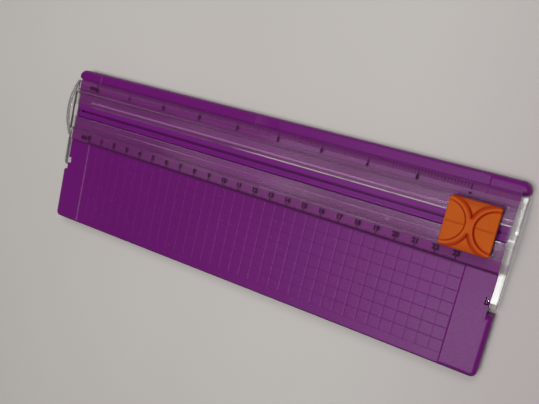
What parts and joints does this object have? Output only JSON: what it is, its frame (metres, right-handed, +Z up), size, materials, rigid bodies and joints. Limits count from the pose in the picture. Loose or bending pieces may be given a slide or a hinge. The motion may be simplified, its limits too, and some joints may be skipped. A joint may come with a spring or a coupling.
{
  "type": "sliding-blade card cutter",
  "caption": "Small desk cutter for cards and paper: flat moulded deck, clear hinged guide rail with rulers, and a slider that carries a spring-loaded blade along its slot.",
  "frame": {"origin": "centre of the base on the surface it stands on", "axes": "+X along the rulers to the right, where the slider stands, +Y to the rear edge under the rail, +Z up"},
  "size_m": [0.272, 0.095, 0.0199],
  "materials": {
    "deck_plastic": "purple, finely grained mould texture",
    "strip_plastic": "purple, smooth",
    "foot_rubber": "black, matt",
    "clear_plastic": "clear, polished, with fine slider marks",
    "carriage_plastic": "dark, satin",
    "screw_steel": "zinc plated",
    "spring_steel": "thin rolled strip",
    "cap_plastic": "orange, semi-gloss",
    "blade_steel": "ground steel"
  },
  "bodies": {
    "base": {"base": "deck_plastic", "cutting_strip": "strip_plastic", "foot_front_left": "foot_rubber", "foot_front_right": "foot_rubber", "foot_rear_left": "foot_rubber", "foot_rear_right": "foot_rubber"},
    "rail": {"guide_rail": "clear_plastic"},
    "carriage": {"slider_carriage": "carriage_plastic", "keeper_plate": "carriage_plastic", "keeper_screw_left": "screw_steel", "keeper_screw_right": "screw_steel", "press_spring_front": "spring_steel", "press_spring_rear": "spring_steel"},
    "press_head": {"slider_cap": "cap_plastic", "blade_holder": "carriage_plastic", "blade_cover": "carriage_plastic", "blade": "blade_steel"}
  },
  "joints": [
    {"name": "rail_lift", "type": "hinge", "parent": "base", "child": "rail", "pos_m": [0, -0.01, 0.006], "axis": [1, 0, 0], "range_deg": [0, 105]},
    {"name": "slider_travel", "type": "slide", "parent": "rail", "child": "carriage", "axis": [1, 0, 0], "range_m": [-0.2362, 0.005]},
    {"name": "blade_press", "type": "slide", "parent": "carriage", "child": "press_head", "axis": [0, 0, -1], "range_m": [0, 0.0018], "stiffness_N_per_m": 500, "springref_m": -0.001, "deforming": ["press_spring_front", "press_spring_rear"]}
  ]
}
